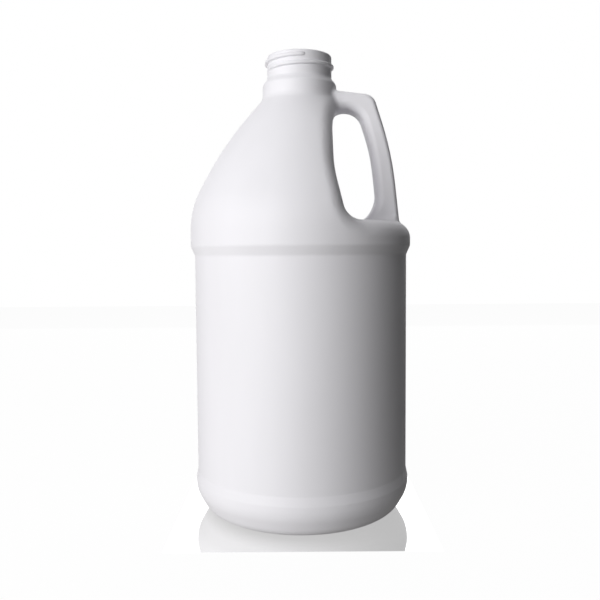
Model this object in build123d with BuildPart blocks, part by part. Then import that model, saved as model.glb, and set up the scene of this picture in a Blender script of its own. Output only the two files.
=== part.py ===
from build123d import *
from math import radians, tan
import os

# Millimetres. Z is up along the bottle's axis, the base stands on Z = 0 and the handle is on +X.
# Heights are stacked: each one starts where the one below it ends.

# Round body
body_diameter = 120.0        # shoulder band, the widest part
label_recess = 2.1           # label panel below the band
bead_recess = 1.1            # foot bead below the band
heel_reach = 7.3             # run of the slope between the two heel corners
heel_rise = 12.6             # and its rise
heel_rounds = (11.0, 15.0)   # lower and upper heel radius
bead_height = 5.6            # upper heel corner to the top of the foot bead
step_rise = 4.8              # sloping step at each end of the label panel
step_round = 4.0
panel_height = 117.2
band_height = 19.7
push_up = 4.0                # recess under the base
push_up_rounds = (6.0, 2.5)
ring_width = 11.0            # standing ring, from its inner corner to the heel corner
ring_slope = 6.5             # run of the slope from the ring up to the recess

# Shoulder, collar and threaded finish
shoulder_round = 45.0
shoulder_slope = (18.0, 34.6)  # run and rise from the band to the break in the shoulder
shoulder_blend = 23.0        # length of the bow on each side of that break
neck_rise = 25.0             # from the break up to the collar
collar_step = 2.5            # collar out from the finish
collar_height = 7.6
collar_rounds = (6.0, 2.4, 1.2)
bevel_rise = 3.1             # from the collar in to the finish
finish_diameter = 35.0       # root of a 38 mm single-start finish
finish_height = 12.5
rim_rounds = (0.4, 1.1)      # inside and outside the rim

# Niche that the handle stands in
ledge_rise = 12.7            # ledge above the lower edge of the band
niche_inset = 3.2            # upright wall in from the collar
niche_foot = (5.7, 25.5)     # run and rise of the wall's leaning foot
niche_lean = (7.0, 16.0)     # run and rise of the wall's leaning top
niche_top = 3.1              # end of that lean above the foot of the collar
niche_round = 9.0            # along the ledge
niche_blends = (7.3, 8.4)    # length of the bows on each side of the two breaks in the wall
niche_edge = 9.0             # round along the whole mouth of the niche

# Hollow handle
grip_setback = 6.4           # outer face in from the band at the ledge
grip_lean = 0.111            # run for each rise, from the ledge to the break of the grip
grip_drop = 30.8             # that break below the top corner
grip_blend = 17.3            # length of the bow on each side of the break, outside
finger_blend = 10.0          # and inside
grip_corner = 7.0
arm_reach = 19.5             # top corner out from the collar
arm_rise = 1.25              # and above the foot of the collar
arm_slope = 0.115            # fall of the arm away from the neck
grip_depths = (10.3, 9.6)    # below and above the break of the grip
arm_depth = 9.1
handle_width = 20.0
arm_flat = 0.3               # left straight under the arm by the arch of the finger opening
foot_flare = 16.0            # lower corner of the finger opening at the grip
flare_bury = 1.5             # how far these corners run on under the niche wall and the ledge
outer_edge = 2.6
finger_edge = 4.2
arm_blend = 3.0
foot_blend = 4.0

# Wall thickness
base_wall = 1.3
heel_wall = 1.1
body_wall = 0.9
shoulder_wall = 1.0
collar_wall = 1.4
bevel_wall = 1.8
finish_wall = 2.0
handle_wall = 1.0

# Derived radii and heights
band_radius = body_diameter / 2
panel_radius = band_radius - label_recess
bead_radius = band_radius - bead_recess
heel_radius = bead_radius - heel_reach
ring_radius = heel_radius - ring_width
finish_radius = finish_diameter / 2
collar_radius = finish_radius + collar_step
break_radius = band_radius - shoulder_slope[0]
bead_top = heel_rise + bead_height
panel_bottom = bead_top + step_rise
panel_top = panel_bottom + panel_height
band_bottom = panel_top + step_rise
shoulder_foot = band_bottom + band_height
shoulder_break = shoulder_foot + shoulder_slope[1]
collar_foot = shoulder_break + neck_rise
collar_top = collar_foot + collar_height
finish_foot = collar_top + bevel_rise
rim = finish_foot + finish_height
ledge = band_bottom + ledge_rise
niche_wall = collar_radius - niche_inset
lean_top = collar_foot + niche_top
root_x = collar_radius - finish_radius  # the handle's arm is carried into the neck to here
root_z = ledge - niche_edge - foot_blend  # and its grip down into the band to here

# Outline of the round body from the middle of the base to the rim, the plastic on its left
body_corners = [
    (0, push_up),
    (ring_radius - ring_slope, push_up),
    (ring_radius, 0),
    (heel_radius, 0),
    (bead_radius, heel_rise),
    (bead_radius, bead_top),
    (panel_radius, panel_bottom),
    (panel_radius, panel_top),
    (band_radius, band_bottom),
    (band_radius, shoulder_foot),
    (break_radius, shoulder_break),
    (collar_radius, collar_foot),
    (collar_radius, collar_top),
    (finish_radius, finish_foot),
    (finish_radius, rim),
]
body_walls = [base_wall] * 3 + [heel_wall] * 2 + [body_wall] * 4 + [shoulder_wall] * 2
body_walls += [collar_wall, bevel_wall, finish_wall]

# Outline of the niche from outside the ledge inward and up to the collar
niche_corners = [
    (body_diameter, ledge),
    (niche_wall + niche_foot[0], ledge),
    (niche_wall, ledge + niche_foot[1]),
    (niche_wall, lean_top - niche_lean[1]),
    (niche_wall + niche_lean[0], lean_top),
]

# Outer face of the handle from under the ledge up the grip and along the arm into the neck
corner_x = collar_radius + arm_reach
corner_z = collar_foot + arm_rise
grip_z = corner_z - grip_drop
grip_x = band_radius - grip_setback - grip_lean * (grip_z - ledge)
outer_corners = [
    (grip_x + grip_lean * (grip_z - root_z), root_z),
    (grip_x, grip_z),
    (corner_x, corner_z),
    (root_x, corner_z + arm_slope * (corner_x - root_x)),
]


# Length of each run that a round takes up at a corner, for each millimetre of its radius
def reach(a, b, c):
    turn = (Vector(*b) - Vector(*a)).get_angle(Vector(*c) - Vector(*b))
    return tan(radians(turn / 2))


# A straight run moved to its left
def shifted(start, end, distance):
    start, end = Vector(*start), Vector(*end)
    along = (end - start).normalized()
    aside = Vector(-along.Y, along.X) * distance
    return start + aside, end + aside


# Corners where each run meets the next one
def meet(runs):
    corners = [runs[0][0]]
    for (start, end), (other, onward) in zip(runs, runs[1:]):
        along, across, gap = end - start, onward - other, other - start
        turn = along.X * across.Y - along.Y * across.X
        corners.append(start + along * ((gap.X * across.Y - gap.Y * across.X) / turn))
    corners.append(runs[-1][1])
    return [(corner.X, corner.Y) for corner in corners]


# An outline with each run moved inward by its own wall
def inset(corners, walls):
    return meet([shifted(*run) for run in zip(corners, corners[1:], walls)])


# Its rounds: a left turn is an outer corner and gets tighter, a right turn gets wider
def inset_rounds(corners, rounds, walls):
    changed = []
    for a, b, c, radius, wall in zip(corners, corners[1:], corners[2:], rounds, walls):
        turn = (b[0] - a[0]) * (c[1] - b[1]) - (b[1] - a[1]) * (c[0] - b[0])
        changed.append(radius - wall if turn > 0 else radius + wall)
    return changed


# Finger opening: up the leaning niche wall, out under the arm, down the grip and back along the ledge.
# Its handle side is the outer face moved in by the depth of the arm and the grip.
depths = (*grip_depths, arm_depth)
lower, upper, arm = [shifted(*run) for run in zip(outer_corners, outer_corners[1:], depths)]
lean_foot = niche_wall - niche_lean[0] / niche_lean[1] * (lean_top - niche_lean[1] - ledge)
wall_run = shifted((lean_foot, ledge), niche_corners[4], flare_bury)
ledge_run = shifted((grip_x, ledge), (0, ledge), flare_bury)
finger_corners = meet([wall_run, arm[::-1], upper[::-1], lower[::-1], ledge_run])

# Rounds of the four outlines. The bows take a set length, and the arch all but a short flat under the arm.
body_rounds = [*push_up_rounds, *heel_rounds, *[step_round] * 4, shoulder_round]
body_rounds += [shoulder_blend / reach(*body_corners[9:12]), *collar_rounds]
wall_bows = [blend / reach(*niche_corners[i:i + 3]) for i, blend in zip((1, 2), niche_blends)]
niche_rounds = [niche_round, *wall_bows]
outer_rounds = [grip_blend / reach(*outer_corners[0:3]), grip_corner]
arm_length = (Vector(*finger_corners[2]) - Vector(*finger_corners[1])).length
arch = (arm_length - arm_flat) / (reach(*finger_corners[0:3]) + reach(*finger_corners[1:4]))
finger_rounds = [arch, arch, finger_blend / reach(*finger_corners[2:5]), foot_flare]


# The whole jug as a filled form: its outer skin, or the hollow inside its walls
def jug_form(hollow):
    skin = handle_wall if hollow else 0.0
    body, body_r = body_corners, body_rounds
    if hollow:
        body = inset(body_corners, body_walls)
        body_r = inset_rounds(body_corners, body_rounds, body_walls)
        body[-1] = (body[-1][0], rim + finish_height)
    niche = inset(niche_corners, [skin] * 4)
    niche_r = inset_rounds(niche_corners, niche_rounds, [skin] * 4)
    outer = inset(outer_corners, [skin] * 3)
    outer_r = inset_rounds(outer_corners, outer_rounds, [skin] * 3)
    finger = inset(finger_corners, [skin] * 5)
    finger_r = inset_rounds(finger_corners, finger_rounds, [skin] * 5)
    half_width = handle_width / 2 - skin

    with BuildPart() as handle:
        with BuildSketch(Plane.XZ):
            with BuildLine():
                FilletPolyline(*outer, radius=outer_r)
                Polyline(outer[-1], (outer[-1][0], outer[0][1]), outer[0])
            make_face()
        extrude(amount=half_width, both=True)
        sides = handle.faces().filter_by(Axis.Y).edges()
        rims = sides.filter_by(lambda e: e.center().X > root_x + 1 and e.center().Z > root_z + 1)
        fillet(rims, outer_edge - skin)
        with BuildSketch(Plane.XZ):
            with BuildLine():
                FilletPolyline(*finger, radius=finger_r)
                Line(finger[-1], finger[0])
            make_face()
        extrude(amount=band_radius, both=True, mode=Mode.SUBTRACT)
        rims = handle.edges(Select.LAST).filter_by(lambda e: abs(e.center().Y) > half_width - 0.01)
        fillet(rims, finger_edge - skin)

    with BuildPart() as form:
        with BuildSketch(Plane.XZ):
            with BuildLine():
                FilletPolyline(*body, radius=body_r)
                Polyline(body[-1], (0, body[-1][1]), body[0])
            make_face()
        revolve(axis=Axis.Z)
        with BuildSketch(Plane.XZ):
            with BuildLine():
                FilletPolyline(*niche, radius=niche_r)
                Polyline(niche[-1], (niche[0][0], niche[-1][1]), niche[0])
            make_face()
        extrude(amount=body_diameter, both=True, mode=Mode.SUBTRACT)
        mouth = form.edges(Select.LAST).filter_by(GeomType.LINE, reverse=True)
        fillet(mouth.filter_by(lambda e: e.center().X > 0), niche_edge - skin)
        add(handle.part)
        joint = form.edges(Select.NEW)
        arm_joint = joint.filter_by(lambda e: e.center().Z > grip_z)
        foot_joint = joint.filter_by(lambda e: e.center().Z < grip_z)
        fillet(foot_joint, foot_blend)
        fillet(arm_joint, arm_blend)
    return form.part


with BuildPart() as bottle:
    add(jug_form(hollow=False))
    add(jug_form(hollow=True), mode=Mode.SUBTRACT)
    for which, radius in zip((0, -1), rim_rounds):
        rim_face = bottle.faces().filter_by(GeomType.PLANE).sort_by(Axis.Z)[-1]
        fillet(rim_face.edges().sort_by(SortBy.RADIUS)[which], radius)
bottle.part.label = "bottle"

os.makedirs("parts", exist_ok=True)
export_step(bottle.part, "parts/bottle.step")
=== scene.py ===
import math
import bmesh
import bpy
import numpy as np
from mathutils import Matrix, Vector


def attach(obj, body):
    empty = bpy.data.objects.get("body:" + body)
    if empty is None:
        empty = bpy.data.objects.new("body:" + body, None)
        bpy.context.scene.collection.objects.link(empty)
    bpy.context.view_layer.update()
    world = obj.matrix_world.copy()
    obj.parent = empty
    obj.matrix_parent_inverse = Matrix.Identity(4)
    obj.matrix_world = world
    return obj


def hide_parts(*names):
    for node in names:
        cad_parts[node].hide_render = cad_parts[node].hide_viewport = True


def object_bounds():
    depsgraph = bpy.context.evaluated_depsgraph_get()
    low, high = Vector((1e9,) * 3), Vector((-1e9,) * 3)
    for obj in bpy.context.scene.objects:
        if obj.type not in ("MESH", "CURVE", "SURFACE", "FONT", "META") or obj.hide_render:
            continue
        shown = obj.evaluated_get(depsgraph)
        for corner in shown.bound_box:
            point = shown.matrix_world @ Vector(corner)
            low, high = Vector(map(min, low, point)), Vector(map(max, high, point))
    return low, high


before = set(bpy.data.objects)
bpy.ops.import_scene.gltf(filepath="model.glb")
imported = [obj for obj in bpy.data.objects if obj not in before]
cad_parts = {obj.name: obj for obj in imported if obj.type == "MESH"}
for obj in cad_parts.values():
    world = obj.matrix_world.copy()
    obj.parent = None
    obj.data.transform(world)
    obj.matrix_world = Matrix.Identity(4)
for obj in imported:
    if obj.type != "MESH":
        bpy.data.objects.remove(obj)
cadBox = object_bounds()
print("frame loaded:", sorted(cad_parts))


# shader nodes: a socket that takes part in sums, and the sheet that it lies on
class Wire:
    def __init__(self, sheet, socket):
        self.sheet = sheet
        self.socket = socket

    # One Math node on this socket and the others
    def reckon(self, operation, *others):
        sockets = dict(enumerate((self, *others)))
        return self.sheet.lay("ShaderNodeMath", {"operation": operation}, sockets)

    def __add__(self, other):
        return self.reckon("ADD", other)

    def __radd__(self, other):
        return self.reckon("ADD", other)

    def __sub__(self, other):
        return self.reckon("SUBTRACT", other)

    def __rsub__(self, other):
        return self.reckon("MULTIPLY", -1.0).reckon("ADD", other)

    def __mul__(self, other):
        return self.reckon("MULTIPLY", other)

    def __rmul__(self, other):
        return self.reckon("MULTIPLY", other)

    def __pow__(self, other):
        return self.reckon("POWER", other)

    def __abs__(self):
        return self.reckon("ABSOLUTE")

    # 0 below low, 1 above high and a soft rise between them
    def rise(self, low, high):
        span = {"interpolation_type": "SMOOTHSTEP"}
        sockets = {"Value": self, "From Min": low, "From Max": high}
        return self.sheet.lay("ShaderNodeMapRange", span, sockets)


class NodeSheet:
    # The node tree of a material or the world, emptied
    def __init__(self, owner):
        owner.use_nodes = True
        self.tree = owner.node_tree
        self.tree.nodes.clear()

    # Adds a node: its settings first, then the values or links of its sockets
    def lay(self, kind, settings=None, sockets=None, out=0):
        node = self.tree.nodes.new(kind)
        for name, value in (settings or {}).items():
            setattr(node, name, value)
        for name, value in (sockets or {}).items():
            if isinstance(value, Wire):
                self.tree.links.new(value.socket, node.inputs[name])
            else:
                node.inputs[name].default_value = value
        return Wire(self, node.outputs[out]) if len(node.outputs) else None

    # A point on the piece, in metres
    def point(self):
        return self.lay("ShaderNodeTexCoord", out="Object")

    # The X, Y and Z of a point or direction
    def split(self, point):
        outputs = self.lay("ShaderNodeSeparateXYZ", None, {0: point}).socket.node.outputs
        return [Wire(self, output) for output in outputs]

    # 1 for any of these kinds of ray, 0 for the others
    def lightPath(self, *kinds):
        outputs = self.lay("ShaderNodeLightPath").socket.node.outputs
        return sum(Wire(self, outputs[kind]) for kind in kinds).reckon("MINIMUM", 1.0)

    def noise(self, point, scale, detail, rough=0.5, stretch=(1, 1, 1)):
        stretched = self.lay("ShaderNodeMapping", None, {"Vector": point, "Scale": stretch})
        sockets = {"Vector": stretched, "Scale": scale, "Detail": detail, "Roughness": rough}
        return self.lay("ShaderNodeTexNoise", {"noise_dimensions": "3D"}, sockets)

    # The first shader where share is 0, the second where it is 1
    def mix(self, share, first, second):
        return self.lay("ShaderNodeMixShader", None, {0: share, 1: first, 2: second})


def meshPiece(name, points, faces, material, smooth=True):
    mesh = bpy.data.meshes.new(name)
    mesh.from_pydata(points.tolist(), [], faces.tolist())
    mesh.validate()
    mesh.polygons.foreach_set("use_smooth", [smooth] * len(mesh.polygons))
    mesh.materials.append(material)
    piece = bpy.data.objects.new(name, mesh)
    bpy.context.scene.collection.objects.link(piece)
    return piece


# 0 at or below 0, 1 at or above 1 and a soft rise between them
def soft(share):
    share = np.clip(share, 0, 1)
    return share * share * (3 - 2 * share)


# Quads of a tube: each row of points is one closed section, and the last row meets the first in a loop,
# or else a strip of quads closes each end
def tubeFaces(rows, columns, loop=False):
    row = np.arange(rows if loop else rows - 1)[:, None]
    column = np.arange(columns)[None, :]
    onward, beside = (row + 1) % rows * columns, (column + 1) % columns
    corners = [row * columns + column, row * columns + beside, onward + beside, onward + column]
    quads = np.stack(np.broadcast_arrays(*corners), -1).reshape(-1, 4)
    if loop:
        return quads
    near = np.arange(columns // 2 - 1)
    strip = np.stack([columns - 1 - near, columns - 2 - near, near + 1, near], -1)
    return np.concatenate([quads, strip, strip[:, ::-1] + (rows - 1) * columns])


# milky white polyethylene, satin and a little waxy
plasticLook = {
    "colour": (0.862, 0.853, 0.888, 1),
    "shade": (0.834, 0.825, 0.857, 1),
    "roughness": 0.56,
    "specular": 0.32,
    "ior": 1.53,
    "flow": {"scale": 26.0, "detail": 3.0, "stretch": (1, 1, 0.25)},  # slow drift of tone
    "peel": {"scale": 1500.0, "detail": 2.0},  # fine grain of the mould
    "wave": {"scale": 55.0, "detail": 1.0, "stretch": (1, 1, 0.6)},  # slow waves in the wall
    "scuff": {"scale": 420.0, "detail": 4.0, "rough": 0.7, "stretch": (1, 1, 3.0)},  # duller specks
    "flowEdge": (0.3, 0.7),
    "scuffEdge": (0.60, 0.75),
    "noiseMean": 0.5,
    "roughBy": {"flow": 0.08, "peel": 0.05, "scuff": 0.05},
    "peelHeight": 0.00001,
    "waveHeight": 0.00005,
}


def makePlastic(name, look):
    material = bpy.data.materials.new(name)
    sheet = NodeSheet(material)
    point = sheet.point()
    grains = ("flow", "peel", "wave", "scuff")
    flow, peel, wave, scuff = [sheet.noise(point, **look[grain]) for grain in grains]
    scuff = scuff.rise(*look["scuffEdge"])
    tint = {"Factor": flow.rise(*look["flowEdge"]), 6: look["colour"], 7: look["shade"]}  # A and B
    colour = sheet.lay("ShaderNodeMix", {"data_type": "RGBA"}, tint, out=2)
    by, mean = look["roughBy"], look["noiseMean"]
    rough = look["roughness"] + (flow - mean) * by["flow"] + (peel - mean) * by["peel"]
    rough = rough + scuff * by["scuff"]
    surface = peel * look["peelHeight"] + wave * look["waveHeight"]
    bump = sheet.lay("ShaderNodeBump", None, {"Height": surface, "Distance": 1.0, "Strength": 1.0})
    sockets = {"Base Color": colour, "Roughness": rough, "Normal": bump, "IOR": look["ior"]}
    sockets["Specular IOR Level"] = look["specular"]
    shader = sheet.lay("ShaderNodeBsdfPrincipled", None, sockets)
    sheet.lay("ShaderNodeOutputMaterial", None, {"Surface": shader})
    return material


milkyPlastic = makePlastic("milkyPlastic", plasticLook)
print("plastic made")


# the moulded shell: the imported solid's own faces, joined up and shaded smooth
shellSettings = {"join": 2e-6, "crease": 38.0}


def makeShell(node, settings, material):
    mesh = node.data.copy()
    mesh.name = "mouldedShell"
    work = bmesh.new()
    work.from_mesh(mesh)
    bmesh.ops.remove_doubles(work, verts=work.verts, dist=settings["join"])
    bmesh.ops.dissolve_degenerate(work, edges=work.edges, dist=settings["join"])
    work.to_mesh(mesh)
    work.free()
    mesh.polygons.foreach_set("use_smooth", [True] * len(mesh.polygons))
    mesh.set_sharp_from_angle(angle=math.radians(settings["crease"]))
    mesh.materials.clear()
    mesh.materials.append(material)
    piece = bpy.data.objects.new("mouldedShell", mesh)
    bpy.context.scene.collection.objects.link(piece)
    weigh = piece.modifiers.new("evenNormals", "WEIGHTED_NORMAL")
    weigh.mode = "FACE_AREA_WITH_ANGLE"
    weigh.keep_sharp = True
    return piece


mouldedShell = makeShell(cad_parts["bottle"], shellSettings, milkyPlastic)
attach(mouldedShell, "root")
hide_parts("bottle")
print("shell:", len(mouldedShell.data.polygons), "faces")


# single-start screw thread on the neck: it starts near the front and runs down to the left and round
threadSettings = {
    "root": 0.0175,
    "height": 0.0012,
    "halfWidth": 0.00125,
    "flank": 0.62,
    "pitch": 0.004233,
    "startAngle": -76.0,
    "startHeight": 0.2449,
    "turns": 1.305,
    "leadIn": 11.0,  # degrees of its rise at the start, and of its fall at the end
    "leadOut": 62.0,
    "growth": (0.5, 60.0),  # share of the height after the rise, and the degrees to all of it
    "sinkBelow": 0.25,  # where less than this share is left, it dips into the neck
    "narrowBelow": 0.5,  # and where less than this, it narrows to endWidth
    "endWidth": 0.35,
    "bury": 0.0006,
    "steps": 420,
    "across": 22,
}


# A rounded ridge carried down a helix: each section's height above the neck is the ridge's height
# times a soft rise from both flanks, times a soft rise from both ends of the thread
def makeThread(settings, material):
    turned = np.linspace(0, 360.0 * settings["turns"], settings["steps"])[:, None]
    side = np.linspace(-1, 1, settings["across"])[None, :]
    ends = soft(turned / settings["leadIn"]) * soft((turned[-1] - turned) / settings["leadOut"])
    first, length = settings["growth"]
    ends = ends * (first + (1 - first) * soft(turned / length))
    lift = settings["height"] * soft((1 - abs(side)) / settings["flank"]) * ends
    sink = settings["bury"] * (1 - soft(ends / settings["sinkBelow"]))
    angle = np.radians(settings["startAngle"] - turned)
    middle = settings["startHeight"] - settings["pitch"] * turned / 360.0
    narrow = settings["endWidth"] + (1 - settings["endWidth"]) * soft(ends / settings["narrowBelow"])
    crest = settings["root"] + lift - sink
    bottom = np.broadcast_to(settings["root"] - settings["bury"] - sink, lift.shape)
    radius = np.concatenate([crest, bottom], 1)
    height = middle + settings["halfWidth"] * narrow * np.concatenate([side, side[:, ::-1]], 1)
    points = np.stack([radius * np.cos(angle), radius * np.sin(angle), height], -1)
    faces = tubeFaces(settings["steps"], points.shape[1])
    return meshPiece("neckThread", points.reshape(-1, 3), faces, material)


neckThread = makeThread(threadSettings, milkyPlastic)
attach(neckThread, "root")
print("thread:", len(neckThread.data.polygons), "faces")


# where the two halves of the mould met: a fine ridge all round, and a thicker scar under the base
partingSettings = {
    "join": 2e-6,
    "top": 0.2352,
    "line": {"height": 0.00007, "halfWidth": 0.00028, "taper": 0.004},
    "scar": {"height": 0.0006, "halfWidth": 0.0009, "taper": 0.006},
    "scarReach": 0.031,  # the scar ends this far from the axis, and lies below scarRoom
    "scarRoom": 0.01,
    "bury": 0.0003,
    "step": 0.0008,
    "across": 7,
}


# The shell's outline in the plane y = 0 below the neck finish: each chain of points, and if it is a ring
def partingChains(node, settings):
    work = bmesh.new()
    work.from_mesh(node.data)
    bmesh.ops.remove_doubles(work, verts=work.verts, dist=settings["join"])
    cuts = [((0, 0, settings["top"]), (0, 0, 1), False), ((0, 0, 0), (0, 1, 0), True)]
    for place, normal, both in cuts:
        whole = [*work.verts, *work.edges, *work.faces]
        cut = {"geom": whole, "plane_co": place, "plane_no": normal, "dist": settings["join"]}
        bmesh.ops.bisect_plane(work, **cut, clear_outer=True, clear_inner=both)
    mesh = bpy.data.meshes.new("partingCut")
    work.to_mesh(mesh)
    work.free()
    cutLine = bpy.data.objects.new("partingCut", mesh)
    bpy.context.scene.collection.objects.link(cutLine)
    bpy.context.view_layer.objects.active = cutLine
    cutLine.select_set(True)
    bpy.ops.object.convert(target="CURVE")
    chains = []
    for spline in cutLine.data.splines:
        flat = np.empty(len(spline.points) * 4)
        spline.points.foreach_get("co", flat)
        chains.append((flat.reshape(-1, 4)[:, [0, 2]], spline.use_cyclic_u))
    curve = cutLine.data
    bpy.data.objects.remove(cutLine)
    bpy.data.curves.remove(curve)
    return chains


# A low rounded ridge carried along a chain: out from the plastic by the ridge's height times one less
# the square of the way across, softened to nothing at open ends, and held inside the object's box
def makeRidge(name, chain, ring, inward, ridge, settings, material):
    if ring:
        chain = np.concatenate([chain, chain[:1]])
    run = np.concatenate([[0], np.cumsum(np.linalg.norm(np.diff(chain, axis=0), axis=1))])
    count = int(run[-1] / settings["step"])
    along = np.linspace(0, run[-1], count, endpoint=not ring)
    path = np.stack([np.interp(along, run, chain[:, 0]), np.interp(along, run, chain[:, 1])], -1)
    ahead = np.roll(path, -1, 0) - np.roll(path, 1, 0) if ring else np.gradient(path, axis=0)
    ahead /= np.linalg.norm(ahead, axis=1, keepdims=True)
    turned = np.sum(path[:, 0] * np.roll(path[:, 1], -1) - path[:, 1] * np.roll(path[:, 0], -1))
    sign = np.sign(turned) * (-1 if inward else 1)
    outward = np.stack([ahead[:, 1], -ahead[:, 0]], -1) * sign
    side = np.linspace(-1, 1, settings["across"])
    fade = np.ones(count)
    if not ring:
        fade = soft(along / ridge["taper"]) * soft((run[-1] - along) / ridge["taper"])
    crest = ridge["height"] * (1 - side ** 2)[None, :] * fade[:, None]
    lift = np.concatenate([crest, np.full_like(crest, -settings["bury"])], 1)
    points = path[:, None, :] + lift[..., None] * outward[:, None, :]
    points = np.clip(points, *np.array(cadBox)[:, ::2])
    across = ridge["halfWidth"] * np.concatenate([side, side[::-1]]) * sign
    points = np.stack([points[..., 0], np.broadcast_to(across, lift.shape), points[..., 1]], -1)
    return meshPiece(name, points.reshape(-1, 3), tubeFaces(count, points.shape[1], ring), material)


def makeParting(node, settings, material):
    chains = partingChains(node, settings)
    outline = min((chain for chain, ring in chains if not ring), key=lambda chain: chain[:, 1].min())
    finger = min((chain for chain, ring in chains if ring), key=lambda chain: np.ptp(chain[:, 0]))
    under = (abs(outline[:, 0]) < settings["scarReach"]) & (outline[:, 1] < settings["scarRoom"])
    line, scar = settings["line"], settings["scar"]
    return [
        makeRidge("partingLine", outline, False, False, line, settings, material),
        makeRidge("fingerPartingLine", finger, True, True, line, settings, material),
        makeRidge("pinchScar", outline[under], False, False, scar, settings, material),
    ]


for ridgePiece in makeParting(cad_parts["bottle"], partingSettings, milkyPlastic):
    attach(ridgePiece, "root")
    print("ridge:", ridgePiece.name, len(ridgePiece.data.polygons), "faces")


# kinds of ray that see the white floor and background
seeingRays = ("Is Camera Ray", "Is Singular Ray", "Is Transmission Ray")
plainWhite = (1, 1, 1, 1)

# floor: seen as white paper with a faint mirror under the base, felt by the bottle as a soft glow
floorSettings = {
    "size": 3.0,
    "drop": 0.0002,
    "paper": (0.97, 0.97, 0.97, 1),
    "white": 0.97,
    "felt": (0.14, 0.14, 0.14, 1),
    "glow": (0.13, 0.05, 0.38),  # under the base, beyond glowReach, and on the key lamp's side
    "glowReach": (0.07, 0.17),
    "litSide": (-0.08, 0.05),
    "glowColour": (1.0, 0.98, 0.95, 1),
    "mirror": 0.55,
    "mirrorEdge": (0.0662, 0.0670),
}


def makeFloor(settings):
    half = settings["size"] / 2
    points = half * np.array([[-1, -1, 0], [1, -1, 0], [1, 1, 0], [-1, 1, 0]])
    material = bpy.data.materials.new("paleFloor")
    sheet = NodeSheet(material)
    x, y = sheet.split(sheet.point())[:2]
    paper = sheet.lay("ShaderNodeBsdfDiffuse", None, {"Color": settings["paper"]})
    white = sheet.lay("ShaderNodeEmission", None, {"Color": plainWhite, "Strength": 1.0})
    mirror = sheet.lay("ShaderNodeBsdfGlossy", None, {"Color": plainWhite, "Roughness": 0.0})
    share = settings["mirror"] * (1 - abs(x).reckon("MAXIMUM", abs(y)).rise(*settings["mirrorEdge"]))
    shown = sheet.mix(share, sheet.mix(settings["white"], paper, white), mirror)
    near, far, lit = [
        sheet.lay("ShaderNodeEmission", None, {"Color": settings["glowColour"], "Strength": strength})
        for strength in settings["glow"]]
    around = sheet.mix(((x * x + y * y) ** 0.5).rise(*settings["glowReach"]), near, far)
    glow = sheet.mix(x.rise(*settings["litSide"]), lit, around)
    dull = sheet.lay("ShaderNodeBsdfDiffuse", None, {"Color": settings["felt"]})
    felt = sheet.lay("ShaderNodeAddShader", None, {0: dull, 1: glow})
    surface = sheet.mix(sheet.lightPath(*seeingRays), felt, shown)
    sheet.lay("ShaderNodeOutputMaterial", None, {"Surface": surface})
    piece = meshPiece("floor", points, np.array([[0, 1, 2, 3]]), material, smooth=False)
    piece.location.z = -settings["drop"]


makeFloor(floorSettings)


# world: white to the camera, a studio that is dim on the right to reflections, faint fill to the rest
worldSettings = {"white": 1.0, "fill": 0.02, "leftSheen": 0.3, "rightSheen": 0.03, "dimSide": (-0.3, 0.5)}


def makeWorld(settings):
    world = bpy.data.worlds.new("studio")
    bpy.context.scene.world = world
    sheet = NodeSheet(world)
    white, fill, left, right = [
        sheet.lay("ShaderNodeBackground", None, {"Color": plainWhite, "Strength": settings[name]})
        for name in ("white", "fill", "leftSheen", "rightSheen")]
    toward = sheet.split(sheet.lay("ShaderNodeTexCoord", out="Generated"))
    studio = sheet.mix(toward[0].rise(*settings["dimSide"]), left, right)
    rest = sheet.mix(sheet.lightPath("Is Glossy Ray"), fill, studio)
    shine = sheet.mix(sheet.lightPath(*seeingRays), rest, white)
    sheet.lay("ShaderNodeOutputWorld", None, {"Surface": shine})


makeWorld(worldSettings)
print("floor and world set")


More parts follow.
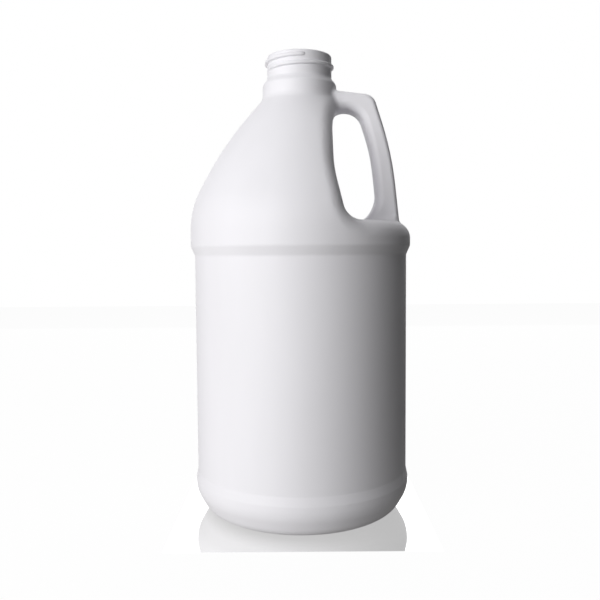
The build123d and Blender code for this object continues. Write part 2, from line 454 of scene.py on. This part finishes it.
# lamps: azimuth 0 is at the camera, negative to its left; distance and size in metres, power in watts
lampAim = Vector((0, 0, 0.13))
lampSettings = {
    "keyPanel": {"azimuth": -40, "elevation": 13, "distance": 1.3, "size": (1.05, 0.3), "power": 15.0},
    "topPanel": {"azimuth": -10, "elevation": 70, "distance": 1.0, "size": (0.8, 0.6), "power": 1.45},
    "rimPanel": {"azimuth": 170, "elevation": 60, "distance": 1.0, "size": (0.7, 0.7), "power": 3.6},
    "backPanel": {"azimuth": 180, "elevation": 12, "distance": 0.9, "size": (1.3, 0.9), "power": 4.0},
}


def makeLamp(name, settings):
    turn, tilt = math.radians(settings["azimuth"]), math.radians(settings["elevation"])
    away = Vector((math.sin(turn) * math.cos(tilt), -math.cos(turn) * math.cos(tilt), math.sin(tilt)))
    lamp = bpy.data.lights.new(name, "AREA")
    lamp.shape = "RECTANGLE"
    lamp.size, lamp.size_y = settings["size"]
    lamp.energy = settings["power"]
    holder = bpy.data.objects.new(name, lamp)
    holder.location = lampAim + away * settings["distance"]
    holder.rotation_euler = away.to_track_quat("Z", "Y").to_euler()
    bpy.context.scene.collection.objects.link(holder)


for lampName, lampValues in lampSettings.items():
    makeLamp(lampName, lampValues)


# camera at the photograph's place: lens and sensor in millimetres, the rest in metres and degrees
cameraSettings = {
    "lens": 42.816,
    "sensor": 36.0,
    "nearest": 0.01,
    "place": (-0.0005, -0.396376, 0.14192),
    "pitch": 3.875,
    "roll": 0.4,
}


def makeCamera(settings):
    data = bpy.data.cameras.new("camera")
    data.lens = settings["lens"]
    data.sensor_width = settings["sensor"]
    data.clip_start = settings["nearest"]
    pitch, roll = math.radians(settings["pitch"]), math.radians(settings["roll"])
    ahead = Vector((0, math.cos(pitch), -math.sin(pitch)))
    right = Vector((1, 0, 0))
    up = right.cross(ahead)
    across = math.cos(roll) * right - math.sin(roll) * up
    upward = math.sin(roll) * right + math.cos(roll) * up
    turn = Matrix((across, upward, -ahead)).transposed()
    camera = bpy.data.objects.new("camera", data)
    camera.matrix_world = Matrix.Translation(settings["place"]) @ turn.to_4x4()
    bpy.context.scene.collection.objects.link(camera)
    bpy.context.scene.camera = camera


makeCamera(cameraSettings)
bpy.context.scene.view_settings.view_transform = "Standard"
print("lamps and camera set")
